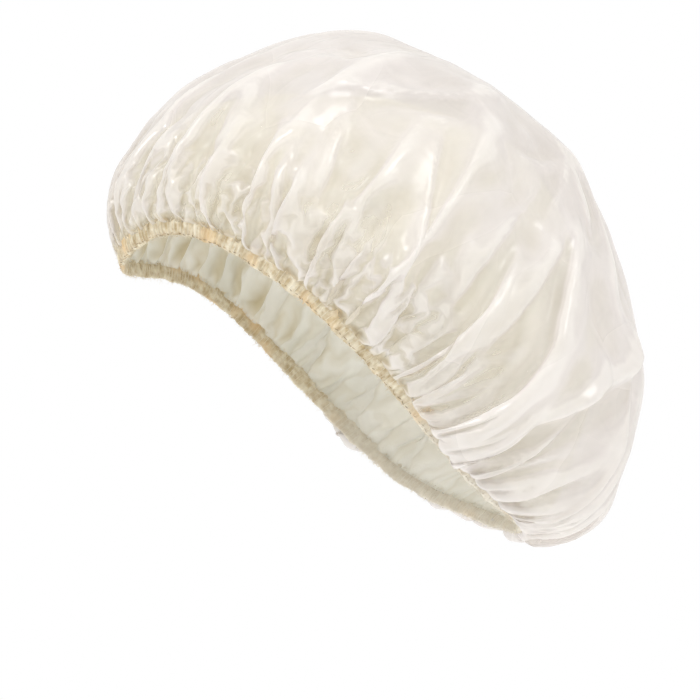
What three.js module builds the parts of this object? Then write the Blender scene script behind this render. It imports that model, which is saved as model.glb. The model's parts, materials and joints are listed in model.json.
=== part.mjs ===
// A rinse-free shampoo cap in the shape it takes on a head, in millimetres, +Z up.
// The forehead is towards -Y and the wearer's left ear towards +X. The origin is on the inside of the
// lining, where the cap rests on the top of the head.
//
// Three pieces: a puffed crown of milky plastic film, a damp non-woven lining that lies on the hair
// inside it, and the fold-over elastic that binds the raw edges of both and gathers them at the hem.

import * as THREE from "three";

// Driving dimensions
const filmWall = 1.4;
const liningWall = 1.4;
const layerGap = 0.35; // between the film and the lining where the elastic holds them together
const bindingWall = 1.0;
const bindingGap = 0.35; // between the elastic and the sheets that it holds
const bindingReach = 4.0; // how far the elastic reaches over the sheets
const bindingRipple = 0.7; // how far its gathers stand out between the stitches
const pleatCount = 52;
const columns = 2 * pleatCount; // each pleat has a crest and a root
const filmTop = 29;
const liningTop = liningWall;
const middle = new THREE.Vector3(0, 5, -75); // folds are laid out as seen from here

// One section of the cap for each angle around the head, from the forehead (0) to the nape (180). The
// other side of the cap mirrors them. "out" is the distance from the upright axis through the origin,
// "up" the height, and "lean" how far in degrees the sheets tip outwards where they leave the elastic.
const hemSections = [
  { angle: 0, out: 98.5, up: -61, lean: 12 },
  { angle: 30, out: 92.5, up: -58, lean: 12 },
  { angle: 60, out: 82.5, up: -83, lean: 16 },
  { angle: 90, out: 75.5, up: -124, lean: 20 },
  { angle: 120, out: 72.5, up: -162, lean: 30 },
  { angle: 150, out: 73.5, up: -179, lean: 42 },
  { angle: 180, out: 75.0, up: -185, lean: 46 },
];

// Each station of a section is [out, up].
const filmSections = [
  { angle: 0, low: [103, -52], belly: [104, -42], waist: [96, -27], shoulder: [79, -3], crown: [46, 15] },
  { angle: 30, low: [99, -50], belly: [102, -40], waist: [96, -24], shoulder: [80, -1], crown: [47, 18] },
  { angle: 60, low: [92, -73], belly: [101, -56], waist: [99, -33], shoulder: [84, -1], crown: [48, 21] },
  { angle: 90, low: [88, -114], belly: [101, -84], waist: [99, -48], shoulder: [84, -6], crown: [47, 20] },
  { angle: 120, low: [91, -156], belly: [109, -112], waist: [106, -62], shoulder: [88, -14], crown: [48, 18] },
  { angle: 150, low: [101, -185], belly: [121, -140], waist: [118, -80], shoulder: [97, -25], crown: [50, 14] },
  { angle: 180, low: [106, -192], belly: [128, -148], waist: [122, -90], shoulder: [100, -31], crown: [50, 12] },
];

const liningSections = [
  { angle: 0, low: [98, -48], belly: [95, -37], waist: [89, -24], shoulder: [74, -8], crown: [42, 0] },
  { angle: 30, low: [92.5, -46], belly: [92, -36], waist: [87, -24], shoulder: [74, -8], crown: [42, 1] },
  { angle: 60, low: [85, -71], belly: [88, -54], waist: [86, -33], shoulder: [72, -9], crown: [42, 1] },
  { angle: 90, low: [81, -112], belly: [89, -84], waist: [86, -48], shoulder: [72, -13], crown: [42, 0] },
  { angle: 120, low: [81, -150], belly: [94, -112], waist: [92, -62], shoulder: [77, -19], crown: [43, -4] },
  { angle: 150, low: [85, -172], belly: [101, -138], waist: [101, -82], shoulder: [84, -30], crown: [43, -8] },
  { angle: 180, low: [87, -178], belly: [105, -144], waist: [105, -90], shoulder: [88, -34], crown: [43, -10] },
];

const stations = ["low", "belly", "waist", "shoulder", "crown"];
const poleRise = stations.length + 2; // after the hem and the mouth of the elastic

// The hem hangs lower on the wearer's right of the forehead.
const hemSag = { angle: -24, spread: 24, drop: 17 };

// How far the crests of the gathers stand out of each sheet. A rise is a place in a section: 0 is the
// hem, 1 the mouth of the elastic, 2 the low station and so on up to 7 at the top.
const filmPleats = [
  { rise: 1, height: 0 },
  { rise: 1.5, height: 2.4 },
  { rise: 2.2, height: 4.0 },
  { rise: 3, height: 3.4 },
  { rise: 4, height: 2.0 },
  { rise: 5, height: 1.0 },
  { rise: 6, height: 0 },
];
const liningPleats = [
  { rise: 1, height: 0 },
  { rise: 2, height: 1.6 },
  { rise: 3.5, height: 1.0 },
  { rise: 5, height: 0 },
];

// Folds follow paths of [angle, up] over a sheet. "height" is how far a fold stands out, or how deep it
// is when less than 0, and "width" how far from the path it reaches.
const filmFolds = [
  // big gathers that fan up from the forehead
  { name: "brow centre", path: [[4, -45], [3, -8]], width: 6, height: 3.5 },
  { name: "brow left", path: [[18, -42], [12, -6], [14, 6]], width: 6, height: -3.5 },
  { name: "temple ridge", path: [[25, -40], [27, -8], [30, 8]], width: 6, height: 4 },
  { name: "temple crease", path: [[32, -45], [38, 10]], width: 5, height: -4 },
  { name: "temple second ridge", path: [[41, -48], [45, 2]], width: 6, height: 3.5 },
  { name: "temple second crease", path: [[49, -55], [50, -15], [52, 15]], width: 5, height: -4 },
  { name: "over the ear ridge", path: [[62, -66], [63, -20]], width: 8, height: 3 },
  { name: "over the ear crease", path: [[76, -88], [73, -45]], width: 8, height: -3 },
  // long soft creases that run back over the top
  { name: "upper side crease", path: [[58, 1], [80, 4], [105, 3], [132, 1]], width: 7, height: -3 },
  { name: "crown crease", path: [[51, 16], [72, 20], [128, 23]], width: 6, height: -2.5 },
  { name: "top ridge", path: [[120, 27], [200, 27]], width: 14, height: 2 },
  // the corner where the fullness of the back is folded over
  { name: "back corner", path: [[154, -26], [146, -36]], width: 12, height: 2.5 },
  { name: "corner to side crease", path: [[140, -36], [119, -51], [108, -70], [97, -92], [88, -102]], width: 9, height: -4 },
  { name: "corner to back ridge", path: [[148, -32], [133, -50], [130, -76]], width: 9, height: 3.5 },
  { name: "corner to nape crease", path: [[148, -44], [163, -64]], width: 8, height: -4 },
  { name: "back flank crease", path: [[130, -76], [142, -100], [149, -109]], width: 8, height: -4 },
  // the lower edge of the smooth panel, with the bunch at the nape below it
  { name: "panel edge", path: [[100, -154], [109, -157], [118, -152], [127, -138], [140, -117], [163, -107]], width: 9, height: -6 },
  { name: "nape ridge", path: [[128, -168], [143, -150], [160, -140]], width: 12, height: 3 },
  { name: "nape crease", path: [[146, -178], [158, -160], [172, -150]], width: 8, height: -4 },
  // the other side of the cap
  { name: "far brow crease", path: [[-14, -52], [-10, -6]], width: 6, height: -3.5 },
  { name: "far temple ridge", path: [[-26, -52], [-24, 0]], width: 7, height: 4 },
  { name: "far temple crease", path: [[-38, -55], [-42, 6]], width: 6, height: -4 },
  { name: "far side ridge", path: [[-60, -70], [-66, -15]], width: 9, height: 4 },
  { name: "far side crease", path: [[-84, -95], [-95, -45], [-120, -20]], width: 10, height: -4 },
  { name: "far back crease", path: [[-112, -150], [-128, -110], [-150, -80]], width: 10, height: -5 },
  { name: "far nape crease", path: [[-140, -175], [-158, -150]], width: 9, height: -4 },
];

const liningFolds = [
  { name: "crown step", path: [[70, -8], [100, -10], [128, -16], [150, -22]], width: 9, height: 3 },
  { name: "side tuck", path: [[140, -45], [112, -75], [92, -100]], width: 8, height: -3 },
  { name: "far tuck", path: [[-140, -50], [-110, -80], [-90, -105]], width: 8, height: -3 },
];

const degrees = Math.PI / 180;

// The shorter way round from one angle to another, in degrees.
function turn(from, to) {
  return ((((to - from + 180) % 360) + 360) % 360) - 180;
}

// A smooth value between the rows of a table of sections, the same on both sides of the cap.
function between(sections, angle, read) {
  const last = sections.length - 1;
  const place = (Math.abs(turn(0, angle)) * last) / 180;
  const row = Math.min(Math.floor(place), last - 1);
  const value = (index) => {
    const folded = Math.abs(index);
    return read(sections[folded > last ? 2 * last - folded : folded]);
  };
  const [before, start, end, after] = [row - 1, row, row + 1, row + 2].map(value);
  const part = place - row;
  const square = part * part;
  const cube = square * part;
  return (
    (2 * cube - 3 * square + 1) * start +
    ((cube - 2 * square + part) * (end - before)) / 2 +
    (3 * square - 2 * cube) * end +
    ((cube - square) * (after - start)) / 2
  );
}

// A straight-line value from a table of heights by rise.
function heightAt(table, rise) {
  const index = table.findIndex((row) => row.rise > rise);
  if (index < 0) return table.at(-1).height;
  if (index === 0) return 0;
  const [start, end] = [table[index - 1], table[index]];
  const part = (rise - start.rise) / (end.rise - start.rise);
  return start.height + part * (end.height - start.height);
}

// A point at a distance from the axis, in the direction of an angle around the head.
function around(angle, out, up) {
  return new THREE.Vector3(out * Math.sin(angle * degrees), -out * Math.cos(angle * degrees), up);
}

// A point in the hem, so far up along the sheets from their raw edge and so far out through them.
function hemPoint(angle, along, depth) {
  const away = turn(hemSag.angle, angle) / hemSag.spread;
  const up = between(hemSections, angle, (row) => row.up) - hemSag.drop * Math.exp(-away * away);
  const out = between(hemSections, angle, (row) => row.out);
  const lean = between(hemSections, angle, (row) => row.lean) * degrees;
  return around(
    angle,
    out + along * Math.sin(lean) + depth * Math.cos(lean),
    up + along * Math.cos(lean) - depth * Math.sin(lean),
  );
}

// The line that a sheet follows from the hem over the top, in the plane at one angle.
function meridian(sheet, angle) {
  const station = (name, at) =>
    around(
      at,
      between(sheet.sections, at, (row) => row[name][0]),
      between(sheet.sections, at, (row) => row[name][1]),
    );
  const line = new THREE.CatmullRomCurve3([
    hemPoint(angle, 0, sheet.depth),
    hemPoint(angle, bindingReach + 1, sheet.depth),
    ...stations.map((name) => station(name, angle)),
    new THREE.Vector3(0, 0, sheet.top),
    station("crown", angle + 180),
  ]);
  return (rise) => {
    if (rise <= 1) return hemPoint(angle, rise * (bindingReach + 1), sheet.depth);
    return line.getPoint(rise / (poleRise + 1));
  };
}

// The direction from the middle of the cap to the place on a sheet with this angle and height.
function directionTo(sheet, [angle, up]) {
  const line = meridian(sheet, angle);
  let [low, high] = [2, poleRise];
  for (let step = 0; step < 20; step += 1) {
    const half = (low + high) / 2;
    if (line(half).z < up) low = half;
    else high = half;
  }
  return line(low).sub(middle).normalize();
}

// How far a sheet's folds move a point of it outwards.
function foldHeight(folds, point) {
  const direction = point.clone().sub(middle);
  const distance = direction.length();
  direction.divideScalar(distance);
  return folds.reduce((total, fold) => {
    const nearest = fold.lines.map((line) =>
      line.closestPointToPoint(direction, true, new THREE.Vector3()).normalize().distanceTo(direction),
    );
    const reach = (Math.min(...nearest) * distance) / fold.width;
    return total + fold.height * Math.exp(-reach * reach);
  }, 0);
}

function layFolds(sheet) {
  return sheet.folds.map((fold) => {
    const places = fold.path.map((place) => directionTo(sheet, place));
    const lines = places.slice(1).map((place, index) => new THREE.Line3(places[index], place));
    return { ...fold, lines };
  });
}

// The way out through the sheets where the elastic holds them.
function outOfHem(angle) {
  return hemPoint(angle, 0, 1).sub(hemPoint(angle, 0, 0));
}

// A closed shell with a constant wall under its outer face, from the hem to the top.
function sheetGeometry(sheet) {
  const rows = sheet.rises.length;
  const folds = layFolds(sheet);
  const smooth = Array.from({ length: columns }, (_, column) => {
    const line = meridian(sheet, (360 * column) / columns);
    return sheet.rises.map(line);
  });
  const top = new THREE.Vector3(0, 0, sheet.top);
  const read = (grid, column, row) => {
    if (row >= rows) return top;
    return grid[(column + columns) % columns][Math.max(row, 0)];
  };
  const normalsOf = (grid) =>
    grid.map((line, column) =>
      line.map((_, row) => {
        if (sheet.rises[row] <= 1) return outOfHem((360 * column) / columns);
        const across = read(grid, column + 1, row).clone().sub(read(grid, column - 1, row));
        const up = read(grid, column, row + 1).clone().sub(read(grid, column, row - 1));
        return across.cross(up).normalize();
      }),
    );
  const normals = normalsOf(smooth);
  const outer = smooth.map((line, column) =>
    line.map((point, row) => {
      const rise = sheet.rises[row];
      const crest = column % 2 ? 0 : 0.7 + 0.3 * Math.cos(column * 2.4);
      const settle = Math.min(Math.max((rise - 1) / 2, 0), 1);
      const height = crest * heightAt(sheet.pleats, rise) + settle * foldHeight(folds, point);
      return point.clone().addScaledVector(normals[column][row], height);
    }),
  );

  const positions = [];
  for (const side of [0, 1]) {
    outer.forEach((line, column) =>
      line.forEach((point, row) => {
        const face = point.clone().addScaledVector(normals[column][row], -side * sheet.wall);
        positions.push(face.x, face.y, face.z);
      }),
    );
    positions.push(0, 0, sheet.top - side * sheet.wall);
  }
  const sideSize = columns * rows + 1;
  const corner = (side, column, row) =>
    side * sideSize + (row < rows ? (column % columns) * rows + row : columns * rows);
  const indices = [];
  for (let column = 0; column < columns; column += 1) {
    const next = column + 1;
    for (const side of [0, 1]) {
      const face = (a, b, c) => indices.push(...(side ? [a, c, b] : [a, b, c]));
      for (let row = 0; row < rows - 1; row += 1) {
        const [a, b] = [corner(side, column, row), corner(side, next, row)];
        const [c, d] = [corner(side, next, row + 1), corner(side, column, row + 1)];
        face(a, b, c);
        face(a, c, d);
      }
      face(corner(side, column, rows - 1), corner(side, next, rows - 1), corner(side, 0, rows));
    }
    const [a, b, c, d] = [corner(0, column, 0), corner(0, next, 0), corner(1, next, 0), corner(1, column, 0)];
    indices.push(a, c, b, a, d, c);
  }
  return solid(positions, indices);
}

// The elastic is folded over the raw edges, so its section is a U that is open towards the sheets.
function bindingGeometry() {
  const inside = -bindingGap;
  const inner = lining.depth - liningWall - bindingGap;
  const outer = film.depth + bindingGap;
  const corners = [
    { along: bindingReach, depth: outer, ripple: 0 },
    { along: inside, depth: outer, ripple: 0 },
    { along: inside, depth: inner, ripple: 0 },
    { along: bindingReach, depth: inner, ripple: 0 },
    { along: bindingReach, depth: inner - bindingWall, ripple: 0 },
    { along: inside - bindingWall, depth: inner - bindingWall, ripple: 1 },
    { along: inside - bindingWall, depth: outer + bindingWall, ripple: 1 },
    { along: bindingReach, depth: outer + bindingWall, ripple: 1 },
  ];
  const size = corners.length;
  const positions = [];
  const indices = [];
  for (let column = 0; column < columns; column += 1) {
    const angle = (360 * column) / columns;
    const ripple = column % 2 ? bindingRipple : 0;
    corners.forEach((place, index) => {
      const sign = place.depth > 0 ? 1 : -1;
      const drop = place.along < 0 ? place.ripple * ripple : 0;
      const point = hemPoint(angle, place.along - drop, place.depth + sign * place.ripple * ripple);
      positions.push(point.x, point.y, point.z);
      const next = (index + 1) % size;
      const [a, b] = [column * size + index, column * size + next];
      const [c, d] = [a, b].map((corner) => (corner + size) % (columns * size));
      indices.push(a, d, b, a, c, d);
    });
  }
  return solid(positions, indices);
}

function solid(positions, indices) {
  return new THREE.BufferGeometry()
    .setAttribute("position", new THREE.Float32BufferAttribute(positions, 3))
    .setIndex(indices);
}

const lining = {
  sections: liningSections,
  top: liningTop,
  wall: liningWall,
  depth: liningWall / 2,
  rises: [0, 0.9, 1.5, 2.3, 3.3, 4.3, 5.2, 6.1],
  pleats: liningPleats,
  folds: liningFolds,
};
const film = {
  sections: filmSections,
  top: filmTop,
  wall: filmWall,
  depth: lining.depth + layerGap + filmWall,
  rises: [0, 0.9, 1.4, 1.9, 2.4, 2.9, 3.35, 3.8, 4.2, 4.6, 4.95, 5.3, 5.65, 6, 6.35, 6.7],
  pleats: filmPleats,
  folds: filmFolds,
};

const materials = {
  film: new THREE.MeshStandardMaterial({ color: 0xefe9e4, roughness: 0.35 }),
  lining: new THREE.MeshStandardMaterial({ color: 0xf3ecd6, roughness: 0.95 }),
  elastic: new THREE.MeshStandardMaterial({ color: 0xcdb295, roughness: 0.9 }),
};

const cap = new THREE.Group();

function addPiece(name, geometry, material) {
  const mesh = new THREE.Mesh(geometry, material);
  mesh.name = name;
  cap.add(mesh);
}

addPiece("film_crown", sheetGeometry(film), materials.film);
addPiece("lining", sheetGeometry(lining), materials.lining);
addPiece("elastic_binding", bindingGeometry(), materials.elastic);

export default cap;
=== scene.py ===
import json
import math
import random

import bmesh
import bpy
import numpy as np
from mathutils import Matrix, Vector, noise
from mathutils.bvhtree import BVHTree
from mathutils.geometry import delaunay_2d_cdt

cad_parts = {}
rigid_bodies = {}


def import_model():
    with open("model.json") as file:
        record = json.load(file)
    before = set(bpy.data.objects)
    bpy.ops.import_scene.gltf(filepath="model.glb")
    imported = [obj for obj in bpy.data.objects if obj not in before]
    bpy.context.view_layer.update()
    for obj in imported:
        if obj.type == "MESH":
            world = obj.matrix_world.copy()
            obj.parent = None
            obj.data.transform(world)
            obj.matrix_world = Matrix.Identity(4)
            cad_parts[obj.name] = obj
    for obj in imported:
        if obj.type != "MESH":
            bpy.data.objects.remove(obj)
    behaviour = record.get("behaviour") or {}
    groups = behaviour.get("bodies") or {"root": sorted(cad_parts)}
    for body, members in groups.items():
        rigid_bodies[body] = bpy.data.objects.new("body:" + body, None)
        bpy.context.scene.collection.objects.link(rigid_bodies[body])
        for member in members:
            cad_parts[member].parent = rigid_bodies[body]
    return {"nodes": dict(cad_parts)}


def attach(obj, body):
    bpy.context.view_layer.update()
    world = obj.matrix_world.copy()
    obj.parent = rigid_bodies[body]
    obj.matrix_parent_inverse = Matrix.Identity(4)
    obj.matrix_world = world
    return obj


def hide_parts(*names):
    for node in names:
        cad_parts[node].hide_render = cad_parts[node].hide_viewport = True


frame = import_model()
nodes = frame["nodes"]
scene = bpy.context.scene
for thing in list(bpy.data.objects):
    if thing.type == "MESH" and thing.name not in nodes:
        bpy.data.objects.remove(thing)
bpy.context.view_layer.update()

view = {
    "azimuth": 75,  # degrees around from the forehead towards the wearer's left ear
    "elevation": 0,
    "distance": 2.4,
    "target": (0.0, 0.0, -0.1088),
    "frameWidth": 0.301,  # how much the camera takes in at the target
}


def aimAtCap(name, data, azimuth, elevation, distance):
    # puts a camera or a light at an angle, looking at the target
    thing = bpy.data.objects.new(name, data)
    scene.collection.objects.link(thing)
    turn, rise = math.radians(azimuth), math.radians(elevation)
    level = math.cos(rise)
    away = Vector((math.sin(turn) * level, -math.cos(turn) * level, math.sin(rise)))
    thing.location = Vector(view["target"]) + away * distance
    thing.rotation_euler = (-away).to_track_quat("-Z", "Y").to_euler()
    return thing


def addCamera():
    data = bpy.data.cameras.new("camera")
    data.lens = data.sensor_width * view["distance"] / view["frameWidth"]
    scene.camera = aimAtCap("camera", data, view["azimuth"], view["elevation"], view["distance"])
    print("the camera stands", view["distance"], "m away")


addCamera()

# the form that the solids give, read around the cap's own axis
form = {
    "middle": (0.0, 0.005, -0.075),
    "tilt": 36,  # degrees that the axis leans back from upright
    "around": 240,  # lines around the axis
    "down": 90,  # places on each line, from the top to the hem
    "reach": 0.3,  # how far out the reading starts
    "margin": 3,  # degrees above the hem where it stops
    "hemUp": 0.0015,  # how far up the hem the lines end
    "hemOut": 0.0006,  # and how far outside its middle, or inside for the lining
    "smoothing": 2.2,  # lines over which places are smoothed
    "normalSmoothing": 1.5,  # and normals
    "widthSmoothing": 6.0,  # and the width between lines
    "cutSmoothing": 12.0,  # and the edge of the cut
}
hemSpec = {
    "columnGap": 0.01,  # radians between two columns of corners
    "neighbours": 8,  # corners of the sheets that show which way they leave the hem
    "smoothing": 1.2,
    "waySmoothing": 2.0,
}
middle = np.array(form["middle"])
tilt = math.radians(form["tilt"])
capAxis = np.array((0.0, math.sin(tilt), math.cos(tilt)))
capFront = np.array((0.0, -math.cos(tilt), math.sin(tilt)))
capLeft = np.array((1.0, 0.0, 0.0))
noiseShift = (7.31, 3.17, 5.77)  # how far apart the noises of two seeds lie


def unit(v):
    return v / np.maximum(np.linalg.norm(v, axis=-1, keepdims=True), 1e-12)


def ramp(values, start, reach, least=0):
    # rises from least, or from 0, to 1 over a reach
    return np.clip((values - start) / reach, least, 1)


def placesOf(mesh):
    return np.array([v.co for v in mesh.vertices])


def nodePoints(name):
    return np.unique(placesOf(nodes[name].data).round(6), axis=0)


def treeOf(thing):
    mesh = thing.data
    return BVHTree.FromPolygons([v.co for v in mesh.vertices], [p.vertices for p in mesh.polygons])


def circleSmooth(values, sigma):
    # smooths rows that run once around a circle
    n = len(values)
    k = np.minimum(np.arange(n), n - np.arange(n))
    weight = np.exp(-0.5 * (k / sigma) ** 2)
    weight /= weight.sum()
    shape = values.reshape(n, -1)
    out = np.fft.ifft(np.fft.fft(shape, axis=0) * np.fft.fft(weight)[:, None], axis=0).real
    return out.reshape(values.shape)


def around(table, angle):
    # reads rows that run evenly once around a circle, at any angles
    n = len(table)
    place = (np.asarray(angle) / math.tau * n) % n
    low = np.floor(place).astype(int)
    part = (place - low).reshape(place.shape + (1,) * (table.ndim - 1))
    return table[low % n] * (1 - part) + table[(low + 1) % n] * part


def smoothNoise(points, scale, seed):
    offset = Vector([seed * shift for shift in noiseShift])
    return np.array([noise.noise(Vector(p) * scale + offset) for p in points])


def hemLine():
    # the elastic's solid has its corners in columns around the head, and the corners of the two
    # sheets nearest to the middle of a column show which way the sheets leave it
    points = nodePoints("elastic_binding")
    angles = np.arctan2(points[:, 0], -points[:, 1]) % math.tau
    order = np.argsort(angles)
    points, angles = points[order], angles[order]
    cuts = np.nonzero(np.diff(angles) > hemSpec["columnGap"])[0] + 1
    centres = np.array([part.mean(axis=0) for part in np.split(points, cuts)])
    sheets = np.vstack([nodePoints("film_crown"), nodePoints("lining")])
    along = []
    for centre in centres:
        nearest = np.argsort(((sheets - centre) ** 2).sum(axis=1))[: hemSpec["neighbours"]]
        near = sheets[nearest]
        way = np.linalg.svd(near - near.mean(axis=0))[2][0]
        along.append(way if way[2] > 0 else -way)
    centres = circleSmooth(centres, hemSpec["smoothing"])
    along = unit(circleSmooth(np.array(along), hemSpec["waySmoothing"]))
    tangent = np.roll(centres, -1, axis=0) - np.roll(centres, 1, axis=0)
    out = unit(np.cross(tangent, along))
    along = unit(np.cross(out, unit(tangent)))
    return centres, along, out


hemCentres, hemAlong, hemOut = hemLine()
hemSteps = np.linalg.norm(np.roll(hemCentres, -1, axis=0) - hemCentres, axis=1)
print("the hem is", round(float(hemSteps.sum()), 3), "m long")


def toPolar(points):
    # the angle around the cap's own axis, from the forehead, and the angle down from it
    v = points - middle
    turn = np.arctan2(v @ capLeft, v @ capFront) % math.tau
    fall = np.arctan2(np.hypot(v @ capLeft, v @ capFront), v @ capAxis)
    return turn, fall


def fromPolar(turn, fall):
    turn, fall = np.asarray(turn)[..., None], np.asarray(fall)[..., None]
    level = np.cos(turn) * capFront + np.sin(turn) * capLeft
    return np.sin(fall) * level + np.cos(fall) * capAxis


def lineEnds(up, out, turns):
    # where the lines end in the hem: how far down from the axis, and the points themselves
    ends = hemCentres + hemAlong * up + hemOut * out
    endTurn, endFall = toPolar(ends)
    order = np.argsort(endTurn)
    order = np.concatenate([order[-3:], order, order[:3]])
    spread = endTurn[order]
    spread[:3] -= math.tau
    spread[-3:] += math.tau
    fall = np.interp(turns, spread, endFall[order])
    return fall, np.stack([np.interp(turns, spread, ends[order, i]) for i in range(3)], axis=1)


def evenLines(grid):
    # the same lines with their places at even steps, and how long each line is
    steps = np.linalg.norm(np.diff(grid, axis=1), axis=2)
    lengths = np.concatenate([np.zeros((len(grid), 1)), np.cumsum(steps, axis=1)], axis=1)
    even = np.zeros_like(grid)
    for i, run in enumerate(lengths):
        places = np.linspace(0, run[-1], form["down"])
        for axis in range(3):
            even[i, :, axis] = np.interp(places, run, grid[i, :, axis])
    return even, lengths[:, -1]


def readForm(name, up, out):
    # lines down the outside of a solid, from its top to the hem
    tree = treeOf(nodes[name])
    turns = np.arange(form["around"]) * math.tau / form["around"]
    lastFall, lastPoint = lineEnds(up, out, turns)
    share = np.linspace(0, 1, form["down"])
    grid = np.zeros((form["around"], form["down"], 3))
    for i, turn in enumerate(turns):
        falls = share * (lastFall[i] - math.radians(form["margin"]))
        for j, way in enumerate(fromPolar(np.full(form["down"], turn), falls)):
            hit = tree.ray_cast(Vector(middle + way * form["reach"]), Vector(-way))[0]
            grid[i, j] = hit if hit else grid[i, j - 1]
        grid[i, -1] = lastPoint[i]
    grid[:, 0] = grid[:, 0].mean(axis=0)
    even, lengths = evenLines(grid)
    smooth = circleSmooth(even, form["smoothing"])
    smooth[:, -1] = even[:, -1]
    print(name, "is", lengths.min().round(4), "to", lengths.max().round(4), "m from top to hem")
    return smooth, lengths


filmForm, filmLengths = readForm("film_crown", form["hemUp"], form["hemOut"])
liningForm, liningLengths = readForm("lining", form["hemUp"], -form["hemOut"])


def onForm(table, turn, share):
    # a point on a form, at an angle around the axis and a share of the way down
    n, m = table.shape[:2]
    a = (turn / math.tau * n) % n
    b = np.clip(share, 0, 1) * (m - 1)
    a0 = np.floor(a).astype(int)
    b0 = np.minimum(np.floor(b).astype(int), m - 2)
    u, v = (a - a0)[:, None], (b - b0)[:, None]
    upper = table[a0 % n, b0] * (1 - u) + table[(a0 + 1) % n, b0] * u
    lower = table[a0 % n, b0 + 1] * (1 - u) + table[(a0 + 1) % n, b0 + 1] * u
    return upper * (1 - v) + lower * v


def formNormals(table):
    across = np.roll(table, -1, axis=0) - np.roll(table, 1, axis=0)
    normals = unit(np.cross(across, np.gradient(table, axis=1)))
    if ((table - middle) * normals).sum() < 0:
        normals = -normals
    normals[:, :3] = unit(table[:, :3] - middle)  # the lines are too close together at the top
    return unit(circleSmooth(normals, form["normalSmoothing"]))


def formWidths(table):
    # how wide the form is around the axis at each place, for each radian
    step = math.tau / len(table)
    across = np.roll(table, -1, axis=0) - np.roll(table, 1, axis=0)
    widths = circleSmooth(np.linalg.norm(across, axis=2) / (2 * step), form["widthSmoothing"])
    return widths[..., None]


# what film and lining share
bothSheets = {
    "seed": 3,
    "fullness": 0.95,  # share of the cut's width that is modelled: the finest scrunch takes the rest
    "rimGap": 0.9,  # space between the rim and the points inside it
    "gathers": 76,  # around the hem, and half as many at each step up
    "fewest": 4,
    "gatherStart": 0.0078,  # how wide a gather is at the hem
    "backStart": 0.009,  # and what is added at the back
    "gatherGrowth": 0.30,  # how much wider it is for each metre from the hem
    "backGrowth": 0.35,  # and what is added at the back
    "sizeTurn": 1.7,  # radians between the gathers of one size and of the next
    "backCurve": 1.5,  # how narrow the back is
    "frontDepth": 0.6,  # share of the gathers' depth at the front
    "frontLean": 0.5,  # and of their lean
    "drift": 0.11,  # radians that gathers wander on their way up
    "driftAround": 2.2,  # how often they do, around the cap
    "driftUp": 4.5,  # and up it
    "lean": 0.85,  # how far gathers lie over to one side
    "leanSeed": 23,
    "leanScale": 0.8,
    "leanSwitch": 5,  # how suddenly they change sides
    "crest": 0.97,  # how sharp an upright gather is, where 1 is a point
    "crestHeight": 1.33,  # how high such a gather's curve is before it is scaled
    "softened": 0.85,  # share of the gathers' height that is kept
    "hemHeight": 0.12,  # and share of that at the hem
    "hemReach": 0.012,  # distance from the hem where they have their full height
    "leanReach": 0.006,  # or their full lean
    "sink": 0.002,  # how far the sheet lies within the solid
    "sinkReach": 0.02,
    "calmStart": 0.03,  # distance from the hem where the back grows calmer
    "calmReach": 0.06,
    "bagOut": 0.7,  # how far the bag at the hem stands out, for each metre that it hangs down
    "bagFront": 0.2,  # where on the way to the nape the bag begins, as a cosine
    "bagTurn": 0.5,  # and how far on it hangs in full
    "ironed": 0.6,  # share of a crumple that one round of ironing takes out
    "ironStart": 0.03,
    "ironReach": 0.05,
    "spike": 0.45,  # how far a corner may stand off its neighbours, in their distances
    "valleyStart": 0.25,  # how much of a valley the level sheet is
    "valleyBelow": 0.0012,  # how far within the solid it counts as level
    "hollowRounds": 12,  # how far around a hollow is measured
    "quality": 5,
    "mass": 0.05,
    "stretch": 15,
    "shear": 0.4,  # share of the stretch stiffness
    "airDamping": 2,
}
# frame, share of the way from the flat cut to the gathered place, and how firmly all of it is held
clothKeys = ((1, 0, 1), (2, 0, 1), (4, 1, 1), (6, 1, 1), (7, 1, 0))


def flatDisc(spec):
    # points spread evenly over a disc, with an even rim for the hem: share of the way out, and turn
    golden = math.pi * (3 - math.sqrt(5))
    i = np.arange(spec["points"]) + 0.5
    share = (1 - spec["rimGap"] / math.sqrt(spec["points"])) * np.sqrt(i / spec["points"])
    rim = np.arange(spec["rimPoints"]) * math.tau / spec["rimPoints"]
    share = np.concatenate([share, np.ones(spec["rimPoints"])])
    turn = np.concatenate([(i * golden) % math.tau, rim])
    disc = np.stack([share * np.cos(turn), share * np.sin(turn)], axis=1)
    faces = delaunay_2d_cdt([Vector(p) for p in disc], [], [], 0, 1e-7)[2]
    return share, turn, list(faces)


def cutRadius(spec, lengths):
    # the sheet is cut a little longer than each line from its top to the hem
    return circleSmooth(lengths, form["cutSmoothing"]) * spec["spare"]


# fold edges that run across the gathers: degrees around and share of the way down, both at one end,
# the middle and the other end, how high the edge stands, how wide it slopes away, and to which side
longFolds = [
    ((136, 135, 158), (0.98, 0.81, 0.54), 0.013, 0.028, 1),
    ((43, 54, 84), (0.64, 0.52, 0.26), 0.003, 0.015, 1),
    ((101, 100, 108), (0.90, 0.72, 0.44), 0.005, 0.020, 1),
    ((115, 114, 119), (0.92, 0.70, 0.50), 0.005, 0.016, 1),
    ((92, 84, 74), (0.94, 0.74, 0.50), 0.004, 0.018, 1),
    ((34, 36, 28), (0.93, 0.80, 0.58), 0.0025, 0.010, 1),
    ((60, 60, 50), (0.92, 0.76, 0.52), 0.0030, 0.012, 1),
    ((12, 8, 4), (0.86, 0.74, 0.58), 0.0025, 0.010, -1),
    ((119, 108, 96), (0.31, 0.38, 0.42), 0.0025, 0.009, 1),
    ((119, 116, 112), (0.31, 0.40, 0.50), 0.0025, 0.009, 1),
    ((120, 126, 131), (0.31, 0.38, 0.46), 0.0025, 0.009, 1),
]
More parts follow.
